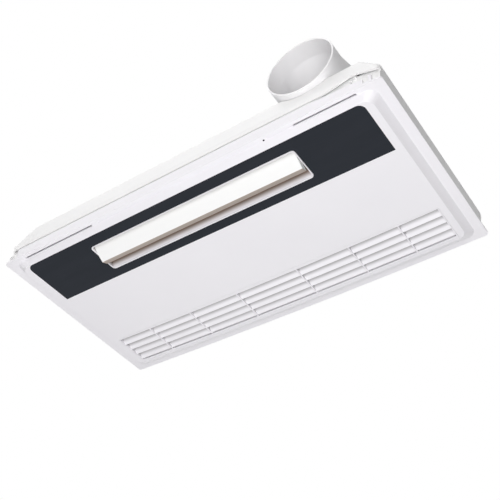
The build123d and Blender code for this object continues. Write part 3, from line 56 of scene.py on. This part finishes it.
# A shader socket used like a number: arithmetic adds Math nodes, made() adds any kind
class Wire:
    def __init__(self, socket):
        self.socket = socket

    # a node of that kind: its settings first, then the value or the link of each input
    @staticmethod
    def made(tree, kind, settings, inputs, out=0):
        node = tree.nodes.new(kind)
        for name, value in settings.items():
            setattr(node, name, value)
        for place, value in inputs.items():
            if isinstance(value, Wire):
                tree.links.new(value.socket, node.inputs[place])
            else:
                node.inputs[place].default_value = value
        return Wire(node.outputs[out])

    def node(self, kind, settings, inputs, out=0):
        return Wire.made(self.socket.id_data, kind, settings, inputs, out)

    def math(self, operation, *others):
        return self.node("ShaderNodeMath", {"operation": operation}, dict(enumerate((self, *others))))

    def __add__(self, other):
        return self.math("ADD", other)

    def __sub__(self, other):
        return self.math("SUBTRACT", other)

    def __rsub__(self, other):
        return self.math("MULTIPLY_ADD", -1.0, other)

    def __mul__(self, other):
        return self.math("MULTIPLY", other)

    __radd__ = __add__
    __rmul__ = __mul__

    def __abs__(self):
        return self.math("ABSOLUTE")

    # from 0 at low to 1 at high, smooth between
    def ramp(self, low, high):
        limits = {"Value": self, "From Min": low, "From Max": high}
        return self.node("ShaderNodeMapRange", {"interpolation_type": "SMOOTHSTEP"}, limits)


# A material with its constant sockets set and the object's coordinates as a wire
class Finish:
    def __init__(self, name, constants):
        self.material = bpy.data.materials.new(name)
        self.material.use_nodes = True
        self.tree = self.material.node_tree
        self.shader = self.tree.nodes["Principled BSDF"]
        for socket, value in constants.items():
            self.shader.inputs[socket].default_value = value
        self.place = Wire.made(self.tree, "ShaderNodeTexCoord", {}, {}, "Object")

    def feed(self, socket, wire):
        self.tree.links.new(wire.socket, self.shader.inputs[socket])

    def axis(self, letter):
        return self.place.node("ShaderNodeSeparateXYZ", {}, {"Vector": self.place}, letter)

    # how far a point lies along a direction
    def along(self, direction):
        inputs = {0: self.place, 1: direction}
        return self.place.node("ShaderNodeVectorMath", {"operation": "DOT_PRODUCT"}, inputs, "Value")

    def stretched(self, stretch):
        return self.place.node("ShaderNodeMapping", {}, {"Vector": self.place, "Scale": stretch})

    def noise(self, scale, detail=2.0, roughness=0.5, stretch=(1, 1, 1)):
        inputs = {"Scale": scale, "Detail": detail, "Roughness": roughness}
        inputs["Vector"] = self.stretched(stretch)
        return self.place.node("ShaderNodeTexNoise", {}, inputs)

    # a steady value in each cell of a mosaic
    def cells(self, scale):
        color = self.place.node("ShaderNodeTexVoronoi", {}, {"Scale": scale, "Vector": self.place}, "Color")
        return color.node("ShaderNodeSeparateColor", {}, {"Color": color})

    # a color from low to high as factor goes from 0 to 1
    def blend(self, factor, low, high):
        inputs = {0: factor}
        for place, color in ((6, low), (7, high)):
            inputs[place] = color if isinstance(color, Wire) else (*color, 1)
        return factor.node("ShaderNodeMix", {"data_type": "RGBA"}, inputs, 2)

    def tint(self, factor, low, high):
        self.feed("Base Color", self.blend(factor, low, high))

    # a height in metres as relief
    def relief(self, height):
        self.feed("Normal", height.node("ShaderNodeBump", {}, {"Height": height, "Distance": 1.0}))


# Satin moulded plastic: a cloudy tone, fine spark grain and slight flow waves, and painted shade, a darker
# color past a height along some direction, if one is given
def moulding(name, values):
    finish = Finish(name, {"IOR": 1.46})
    cloud = finish.noise(values["cloud"], 3.0).ramp(0.3, 0.7)
    # painted shade: the color turns to a shade color past a height along the given direction
    if "deep" in values:
        color = finish.blend(cloud, values["low"], values["high"])
        finish.tint(finish.along(values["deepAlong"]).ramp(*values["deepFrom"]), color, values["deep"])
    else:
        finish.tint(cloud, values["low"], values["high"])
    grain = finish.noise(values["grain"], 2.0, 0.6)
    wave = finish.noise(values["wave"], 1.0)
    finish.feed("Roughness", (grain - 0.5) * values["glossSpread"] + values["gloss"])
    finish.relief(grain * values["grainDepth"] + wave * values["waveDepth"])
    return finish.material


def mouldedWith(low, high, gloss, **changes):
    usual = {"cloud": 6.0, "grain": 900.0, "wave": 14.0, "glossSpread": 0.10}
    usual |= {"grainDepth": 0.012 * mm, "waveDepth": 0.10 * mm}
    return usual | {"low": low, "high": high, "gloss": gloss} | changes


# Dark inlay: even, with faint wiping marks along the strip
def darkInlay(name, values):
    finish = Finish(name, {"Specular IOR Level": values["specular"]})
    wiped = finish.noise(values["marks"], 4.0, 0.6, values["wiping"])
    finish.tint(wiped.ramp(0.35, 0.7), values["low"], values["high"])
    finish.feed("Roughness", values["gloss"] + (wiped - 0.5) * values["glossSpread"])
    finish.relief(finish.noise(values["grain"]) * values["grainDepth"])
    return finish.material


# Height of a pressed bead that runs round a rectangle in the plane of two axes
def bead(finish, values):
    spans = []
    for letter, (start, end) in values["outline"].items():
        middle, half = (start + end) / 2, (end - start) / 2 - values["corner"]
        spans.append(abs(finish.axis(letter) - middle) - half)
    outside = [span.math("MAXIMUM", 0.0) for span in spans]
    away = (outside[0] * outside[0] + outside[1] * outside[1]).math("SQRT")
    inside = spans[0].math("MAXIMUM", spans[1]).math("MINIMUM", 0.0)
    line = away + inside - values["corner"]
    return (1.0 - abs(line).ramp(values["flat"], values["width"])) * values["height"]


# Galvanised sheet: spangle, rolling lines, a pale bloom, and a pressed bead where one is given
def galvanised(name, values, beadValues=None):
    finish = Finish(name, {"Metallic": values["metallic"]})
    spangle = finish.cells(values["spangle"]) * 0.6 + finish.cells(values["fineSpangle"]) * 0.4
    rolled = finish.noise(values["rolled"], 3.0, 0.6, values["rolling"])
    bloom = finish.noise(values["bloom"], 4.0, 0.65).ramp(0.50, 0.72)
    tone = spangle * 0.5 + rolled * 0.3 + bloom * 0.2
    finish.tint(tone, values["low"], values["high"])
    finish.feed("Roughness", values["gloss"] + tone * values["glossSpread"])
    height = spangle * values["spangleDepth"] + rolled * values["rolledDepth"]
    if beadValues:
        height = height + bead(finish, beadValues)
    finish.relief(height)
    return finish.material


# Bare or plated metal with fine drawn lines
def drawnMetal(name, values):
    finish = Finish(name, {"Metallic": 1.0})
    lines = finish.noise(values["lines"], 3.0, 0.6, values["along"])
    stain = finish.noise(values["stain"], 3.0)
    finish.tint(lines * 0.6 + stain * 0.4, values["low"], values["high"])
    finish.feed("Roughness", values["gloss"] + lines * 0.10 + stain * 0.08)
    finish.relief(lines * values["depth"])
    return finish.material


def drawnWith(low, high, gloss, along=(1, 1, 14)):
    usual = {"lines": 300.0, "stain": 60.0, "depth": 0.006 * mm}
    return usual | {"low": low, "high": high, "gloss": gloss, "along": along}


# Heater core: thin pressed fins across the block, dulled by heat at the ends
def finnedCore(name, values):
    finish = Finish(name, {"Metallic": 1.0})
    turns = finish.axis("X") * (2 * math.pi / values["pitch"])
    fins = turns.math("SINE") * 0.5 + 0.5
    heat = finish.noise(values["heat"], 3.0)
    finish.tint(fins * 0.6 + heat * 0.4, values["low"], values["high"])
    finish.feed("Roughness", values["gloss"] + heat * 0.15)
    finish.relief(fins * values["depth"])
    return finish.material


# Circuit board: lacquer over a grid of tracks, with pads along them
def circuitBoard(name, values):
    finish = Finish(name, {"Roughness": 0.35, "Coat Roughness": 0.1})
    inputs = {"Vector": finish.place, "Scale": values["tracks"], "Mortar Size": 0.03}
    tracks = finish.place.node("ShaderNodeTexBrick", {}, inputs, "Fac")
    pads = finish.cells(values["pads"]).ramp(0.86, 0.9)
    finish.tint(tracks.math("MAXIMUM", pads), values["low"], values["high"])
    finish.feed("Coat Weight", 0.5 - pads * 0.5)
    finish.relief(tracks * values["trackDepth"] + pads * values["padDepth"])
    return finish.material


sheetValues = {
    "low": (0.47, 0.485, 0.50),
    "high": (0.72, 0.735, 0.745),
    "metallic": 0.85,
    "gloss": 0.30,
    "glossSpread": 0.20,
    "spangle": 70.0,
    "fineSpangle": 161.0,
    "spangleDepth": 0.008 * mm,
    "rolled": 120.0,
    "rolling": (1, 12, 12),
    "rolledDepth": 0.006 * mm,
    "bloom": 16.0,
}
panelValues = mouldedWith((0.900, 0.884, 0.920), (0.922, 0.906, 0.940), 0.40)
bladeValues = mouldedWith((0.93, 0.93, 0.925), (0.95, 0.95, 0.945), 0.42)
finishes = {
    "panel_white": moulding("panelWhite", panelValues),
    "strip_dark": darkInlay(
        "stripDark",
        {
            "low": (0.0125, 0.0160, 0.0235),
            "high": (0.0145, 0.0180, 0.0260),
            "specular": 0.15,
            "gloss": 0.30,
            "glossSpread": 0.10,
            "marks": 9.0,
            "wiping": (1.0, 6.0, 1.0),
            "grain": 260.0,
            "grainDepth": 0.004 * mm,
        },
    ),
    "receiver_dark": moulding(
        "receiverWindow", mouldedWith((0.02, 0.012, 0.02), (0.04, 0.02, 0.04), 0.12, cloud=60.0)
    ),
    "frame_white": moulding("frameWhite", mouldedWith((0.92, 0.915, 0.915), (0.94, 0.935, 0.935), 0.45)),
    "duct_white": moulding("ductWhite", mouldedWith((0.94, 0.93, 0.94), (0.96, 0.95, 0.96), 0.42)),
    "inner_white": moulding(
        "innerWhite", mouldedWith((0.82, 0.815, 0.80), (0.88, 0.875, 0.86), 0.50, cloud=24.0)
    ),
    "mechanism": moulding("acetal", mouldedWith((0.70, 0.70, 0.66), (0.78, 0.78, 0.74), 0.38, cloud=60.0)),
    "galvanised": galvanised("galvanisedSheet", sheetValues),
    "spring_steel": drawnMetal("springSteel", drawnWith((0.42, 0.43, 0.45), (0.60, 0.61, 0.63), 0.24)),
    "zinc_screw": drawnMetal("zincPlate", drawnWith((0.52, 0.53, 0.50), (0.70, 0.71, 0.68), 0.26)),
    "dark_screw": drawnMetal("blackOxide", drawnWith((0.05, 0.05, 0.055), (0.11, 0.11, 0.12), 0.35)),
    "motor_can": moulding(
        "motorEnamel", mouldedWith((0.03, 0.03, 0.033), (0.06, 0.06, 0.065), 0.36, cloud=40.0, grain=350.0)
    ),
    "small_motor": drawnMetal("platedCan", drawnWith((0.50, 0.51, 0.52), (0.66, 0.67, 0.68), 0.28)),
    "shaft_steel": drawnMetal("groundShaft", drawnWith((0.50, 0.51, 0.52), (0.66, 0.67, 0.68), 0.18)),
    "wheel_plastic": moulding(
        "wheelPlastic", mouldedWith((0.05, 0.05, 0.055), (0.09, 0.09, 0.10), 0.52, cloud=50.0)
    ),
    "rubber_black": moulding(
        "rubberBlack", mouldedWith((0.020, 0.020, 0.020), (0.045, 0.045, 0.045), 0.68, cloud=80.0, grain=300.0)
    ),
    "heater_alu": finnedCore(
        "finAluminium",
        {
            "pitch": 1.6 * mm,
            "low": (0.46, 0.45, 0.44),
            "high": (0.80, 0.80, 0.80),
            "gloss": 0.30,
            "heat": 30.0,
            "depth": 0.3 * mm,
        },
    ),
    "ceramic": moulding(
        "heatProofMoulding", mouldedWith((0.66, 0.60, 0.50), (0.76, 0.70, 0.60), 0.66, cloud=70.0, grain=250.0)
    ),
    "cutout_steel": drawnMetal("cutoutCap", drawnWith((0.45, 0.45, 0.47), (0.62, 0.62, 0.64), 0.26)),
    "board_green": circuitBoard(
        "boardGreen",
        {
            "tracks": 90.0,
            "pads": 260.0,
            "low": (0.03, 0.16, 0.07),
            "high": (0.14, 0.34, 0.17),
            "trackDepth": 0.04 * mm,
            "padDepth": 0.10 * mm,
        },
    ),
    "terminal_grey": moulding(
        "terminalNylon", mouldedWith((0.62, 0.62, 0.60), (0.72, 0.72, 0.70), 0.42, cloud=70.0)
    ),
    "capacitor_white": moulding(
        "capacitorCase", mouldedWith((0.80, 0.80, 0.78), (0.87, 0.87, 0.85), 0.32, cloud=50.0)
    ),
}


# Painted shade: warm or grey darkening painted where shade falls, on what faces into the outlet and the
# grille, measured along a direction from where the node starts, or back from where it ends
paintedShadeNodes = {
    "outlet_bezel": {  # painted shade down the throat, white only at its lip
        "finish": "bezelPaintedShade",
        "plain": panelValues,
        "deep": (0.25, 0.165, 0.12),
        "deepAlong": (0, 0, 1),
        "deepSpan": (0.2 * mm, 8 * mm),
    },
    "louver_blade": {  # painted shade on the blade's far facet
        "finish": "bladePaintedShade",
        "plain": bladeValues,
        "deep": (0.43, 0.355, 0.305),
        "deepAlong": (0, 0.452, -0.892),
        "deepSpan": (-0.6 * mm, -0.2 * mm),
    },
    "return_grille": {  # painted shade on the slats, towards the air space behind them
        "finish": "grillePaintedShade",
        "plain": panelValues,
        "deep": (0.46, 0.45, 0.455),
        "deepAlong": (0, 0, 1),
        "deepSpan": (2.0 * mm, 6.5 * mm),
    },
}


def paintedShadeFinish(name, values):
    along = Vector(values["deepAlong"])
    reaches = [along.dot(vert.co) for vert in nodes[name].data.vertices]
    start = min(reaches) if values["deepSpan"][0] > 0 else max(reaches)
    deepFrom = [start + step for step in values["deepSpan"]]
    return moulding(values["finish"], values["plain"] | values | {"deepFrom": deepFrom})


# Pressed beads that stiffen the casing's large sheets, inset from each sheet's edges and stopped
# short of what stands in the way
beadShape = {"corner": 12 * mm, "flat": 1.2 * mm, "width": 4.0 * mm, "height": 1.0 * mm}
beaded = {
    "casing_lid": {"finish": "beadedLid", "thin": "Z", "inset": 26 * mm},
    "casing_near_wall": {"finish": "beadedNearWall", "thin": "Y", "inset": 16 * mm, "stop": "duct_adapter"},
    "casing_far_wall": {"finish": "beadedFarWall", "thin": "Y", "inset": 16 * mm, "stop": "cable_inlet"},
    "casing_left_end": {"finish": "beadedLeftEnd", "thin": "X", "inset": 18 * mm},
    "casing_right_end": {"finish": "beadedRightEnd", "thin": "X", "inset": 18 * mm},
}


def beadedFinish(name, values):
    low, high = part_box(name)
    inset = values["inset"]
    outline = {}
    for place, letter in enumerate("XYZ"):
        if letter != values["thin"]:
            outline[letter] = (low[place] + inset, high[place] - inset)
    if "stop" in values:
        outline["X"] = (low[0] + inset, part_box(values["stop"])[0][0] - inset)
    return galvanised(values["finish"], sheetValues, beadShape | {"outline": outline})


# Painted shade: the outlet duct is given a dark taupe in place of white, so the throat in front of it reads
# shaded and warm
ductShadeValues = mouldedWith((0.26, 0.22, 0.19), (0.34, 0.29, 0.25), 0.5)
ownFinish = {"outlet_duct": moulding("ductTaupeShade", ductShadeValues)}
ownFinish |= {name: paintedShadeFinish(name, values) for name, values in paintedShadeNodes.items()}
ownFinish |= {name: beadedFinish(name, values) for name, values in beaded.items()}
for name, thing in nodes.items():
    thing.data.materials.clear()
    thing.data.materials.append(ownFinish[name] if name in ownFinish else finishes[slotOf[name]])
print("finishes on", len(nodes), "nodes,", len(ownFinish), "with their own")


def lowCorner(points):
    return [round(min(point[place] for point in points), 5) for place in range(3)]


# The loose solids of a CAD node, each as a list of its points, in the order of their low corners
def looseSolids(thing):
    bm = bmesh.new()
    bm.from_mesh(thing.data)
    bmesh.ops.remove_doubles(bm, verts=bm.verts, dist=0.001 * mm)
    waiting = set(bm.verts)
    solids = []
    while waiting:
        points, front = [], [waiting.pop()]
        while front:
            vert = front.pop()
            points.append(vert.co.copy())
            fresh = {edge.other_vert(vert) for edge in vert.link_edges} & waiting
            waiting -= fresh
            front.extend(fresh)
        solids.append(points)
    bm.free()
    return sorted(solids, key=lowCorner)


# Where a plain screw solid lies along one axis: its seat, its outward side and its four sizes
def measureScrew(points, axis):
    across = [place for place in range(3) if place != axis]
    middle = Vector((0, 0, 0))
    for place in across:
        values = [point[place] for point in points]
        middle[place] = (min(values) + max(values)) / 2

    def reach(point):
        return math.hypot(*[point[place] - middle[place] for place in across])

    along = [point[axis] for point in points]
    headRadius = max(map(reach, points))
    rim = [point[axis] for point in points if reach(point) > 0.9 * headRadius]
    outward = 1 if max(along) - max(rim) < min(rim) - min(along) else -1
    seat, top = (min(rim), max(rim)) if outward > 0 else (max(rim), min(rim))
    tip = min(along) if outward > 0 else max(along)
    middle[axis] = seat
    shank = [reach(point) for point in points if (seat - point[axis]) * outward > 0.1 * mm]
    return {
        "seat": middle,
        "axis": axis,
        "outward": outward,
        "headRadius": headRadius,
        "headHeight": abs(top - seat),
        "shankRadius": max(shank),
        "shankLength": abs(seat - tip),
    }


# Rings round Z, each a height and a radius for every angle, bridged in turn and closed at both ends
def stackRings(bm, rings, steps):
    loops = []
    for height, reachAt in rings:
        made = bmesh.ops.create_circle(bm, cap_ends=False, segments=steps, radius=1.0)["verts"]
        for place, vert in enumerate(made):
            angle = 2 * math.pi * place / steps
            reach = reachAt(angle)
            vert.co = (reach * math.cos(angle), reach * math.sin(angle), height)
        loops.append({edge for vert in made for edge in vert.link_edges})
    for lower, upper in zip(loops, loops[1:]):
        bmesh.ops.bridge_loops(bm, edges=list(lower | upper))
    for end in (loops[0], loops[-1]):
        bmesh.ops.contextual_create(bm, geom=list(end))
    bmesh.ops.recalc_face_normals(bm, faces=bm.faces)


def roundRing(radius):
    return lambda angle: radius


# Outline of a cross recess: four arms of that reach and half width
def crossRing(arm, half):
    def reachAt(angle):
        away = abs((angle + math.pi / 4) % (math.pi / 2) - math.pi / 4)
        return min(arm / math.cos(away), half / max(math.sin(away), 0.001))

    return reachAt


screwShape = {
    "steps": 64,
    "threadPitch": 0.8 * mm,
    "threadRoot": 0.78,  # of the shank's radius
    "tipRadius": 0.2,
    "tipLength": 1.2 * mm,
    "neck": 0.05 * mm,
    "crossArm": 0.52,  # of the head's radius
    "crossHalf": 0.13,
    "crossTaper": 0.8,  # of the cross at the recess's floor
    "crossFloor": 0.35,  # of the head's height
    "headCurve": ((0.0, 0.96), (0.08, 1.0), (0.42, 0.985), (0.72, 0.90), (0.90, 0.76), (0.98, 0.62)),
}


# Pan-head tapping screw with a cross recess, seated at the origin with its head along +Z
def panHead(bm, size):
    shape = screwShape
    rings = [(-size["shankLength"], roundRing(shape["tipRadius"] * size["shankRadius"]))]
    threaded = size["shankLength"] - shape["tipLength"]
    turns = max(1, int(threaded / shape["threadPitch"]))
    for turn in range(turns):
        low = -threaded + turn * threaded / turns
        rings.append((low, roundRing(size["shankRadius"])))
        rings.append((low + threaded / turns / 2, roundRing(shape["threadRoot"] * size["shankRadius"])))
    rings.append((-shape["neck"], roundRing(size["shankRadius"])))
    for height, share in shape["headCurve"]:
        rings.append((height * size["headHeight"], roundRing(share * size["headRadius"])))
    arm, half = shape["crossArm"] * size["headRadius"], shape["crossHalf"] * size["headRadius"]
    rings.append((size["headHeight"], crossRing(arm, half)))
    taper = shape["crossTaper"]
    rings.append((shape["crossFloor"] * size["headHeight"], crossRing(taper * arm, taper * half)))
    stackRings(bm, rings, shape["steps"])


def finishedPiece(name, bm, slot, body):
    mesh = bpy.data.meshes.new(name)
    bm.to_mesh(mesh)
    bm.free()
    mesh.shade_smooth()
    mesh.set_sharp_from_angle(angle=math.radians(40))
    piece = bpy.data.objects.new(name, mesh)
    scene.collection.objects.link(piece)
    mesh.materials.append(finishes[slot])
    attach(piece, body)
    return piece


screwSets = {
    "frame_screws": {"piece": "frameScrewHeads", "axis": 2},
    "adapter_screws": {"piece": "adapterScrewHeads", "axis": 1},
    "lid_screws": {"piece": "lidScrewHeads", "axis": 1},
    "casing_screws": {"piece": "casingScrewHeads", "axis": 2},
    "motor_screws": {"piece": "motorScrewHeads", "axis": 2},
}
goldenTurn = math.radians(137.5)
for name, values in screwSets.items():
    joined = bmesh.new()
    solids = looseSolids(nodes[name])
    for count, points in enumerate(solids):
        size = measureScrew(points, values["axis"])
        single = bmesh.new()
        panHead(single, size)
        outward = Vector([size["outward"] if place == size["axis"] else 0 for place in range(3)])
        turn = outward.to_track_quat("Z", "Y").to_matrix().to_4x4()
        placed = Matrix.Translation(size["seat"]) @ turn @ Matrix.Rotation(count * goldenTurn, 4, "Z")
        bmesh.ops.transform(single, matrix=placed, verts=single.verts)
        part = bpy.data.meshes.new("screw")
        single.to_mesh(part)
        single.free()
        joined.from_mesh(part)
        bpy.data.meshes.remove(part)
    piece = finishedPiece(values["piece"], joined, slotOf[name], "unit")
    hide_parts(name)
    print(values["piece"], len(solids), "screws")


# White to the eye and in reflections, a softer light on the object
stageValues = {
    "ambient": 0.09,
    "ambientTint": (1.0, 0.995, 1.0, 1),
    "backdrop": 1.0,
    "floorWhite": 0.72,  # share of the floor's color that is plain white to the eye
    "floorZ": -1.6,
    "floorHalf": 9.0,
}


# 1 for the rays that look at the background, straight or by reflection
def seenBackground(tree):
    seen = Wire.made(tree, "ShaderNodeLightPath", {}, {}, "Is Camera Ray")
    for kind in ("Is Glossy Ray", "Is Transmission Ray"):
        seen = seen.math("MAXIMUM", seen.node("ShaderNodeLightPath", {}, {}, kind))
    return seen


def worldLight(values):
    world = bpy.data.worlds.new("studio")
    scene.world = world
    world.use_nodes = True
    tree = world.node_tree
    tree.nodes.remove(tree.nodes["Background"])
    seen = seenBackground(tree)
    soft = {"Color": values["ambientTint"], "Strength": values["ambient"]}
    white = {"Color": (1, 1, 1, 1), "Strength": values["backdrop"]}
    light = seen.node("ShaderNodeBackground", {}, soft)
    backdrop = seen.node("ShaderNodeBackground", {}, white)
    mixed = seen.node("ShaderNodeMixShader", {}, {0: seen, 1: light, 2: backdrop})
    tree.links.new(mixed.socket, tree.nodes["World Output"].inputs["Surface"])


lamps = {
    "eyeFill": {"power": 17.4, "place": (0.7, -1.3, -1.0), "size": 1.3},
    "belowFill": {"power": 5.5, "place": (-0.1, -0.1, -1.15), "size": 1.8},
    "topSoft": {"power": 28.6, "place": (-0.4, -1.1, 1.4), "size": 2.8},
    "farFill": {"power": 18.5, "place": (-0.6, 1.9, 0.5), "size": 3.6},
}


def areaLamp(name, values):
    data = bpy.data.lights.new(name, "AREA")
    data.shape = "SQUARE"
    data.size = values["size"]
    data.energy = values["power"]
    lamp = bpy.data.objects.new(name, data)
    scene.collection.objects.link(lamp)
    lamp.location = values["place"]
    lamp.rotation_mode = "QUATERNION"
    lamp.rotation_quaternion = (-Vector(values["place"])).to_track_quat("-Z", "Y")


def paleFloor(values):
    bm = bmesh.new()
    bmesh.ops.create_grid(bm, x_segments=1, y_segments=1, size=values["floorHalf"])
    bmesh.ops.translate(bm, vec=(0, 0, values["floorZ"]), verts=bm.verts)
    mesh = bpy.data.meshes.new("floor")
    bm.to_mesh(mesh)
    bm.free()
    floor = bpy.data.objects.new("floor", mesh)
    scene.collection.objects.link(floor)
    finish = Finish("paleFloor", {"Roughness": 0.8})
    finish.tint(finish.noise(1.5), (0.93, 0.93, 0.93), (0.95, 0.95, 0.95))
    seen = seenBackground(finish.tree)
    white = seen.node("ShaderNodeEmission", {}, {"Color": (1, 1, 1, 1), "Strength": values["backdrop"]})
    lit = Wire(finish.shader.outputs["BSDF"])
    mixed = seen.node("ShaderNodeMixShader", {}, {0: seen * values["floorWhite"], 1: lit, 2: white})
    finish.tree.links.new(mixed.socket, finish.tree.nodes["Material Output"].inputs["Surface"])
    mesh.materials.append(finish.material)


worldLight(stageValues)
paleFloor(stageValues)
for name, values in lamps.items():
    areaLamp(name, values)

# The photo's camera, found from the panel's corners and the collar's upright edges
cameraValues = {
    "focalPixels": 876.15,
    "framePixels": 500.0,
    "sensor": 36.0,
    "place": (0.5335277, -0.7043864, -0.9167806),
    "right": (0.8266064, 0.5616137, 0.0362213),
    "down": (-0.3598378, 0.5769164, -0.7332696),
    "ahead": (-0.4327109, 0.5930915, 0.6789726),
}


def photoCamera(values):
    data = bpy.data.cameras.new("photoCamera")
    data.sensor_width = values["sensor"]
    data.lens = values["sensor"] * values["focalPixels"] / values["framePixels"]
    camera = bpy.data.objects.new("photoCamera", data)
    scene.collection.objects.link(camera)
    axes = (Vector(values["right"]), -Vector(values["down"]), -Vector(values["ahead"]))
    turn = Matrix(axes).transposed().to_4x4()
    camera.matrix_world = Matrix.Translation(values["place"]) @ turn
    scene.camera = camera


photoCamera(cameraValues)
print("stage, lamps and camera ready")
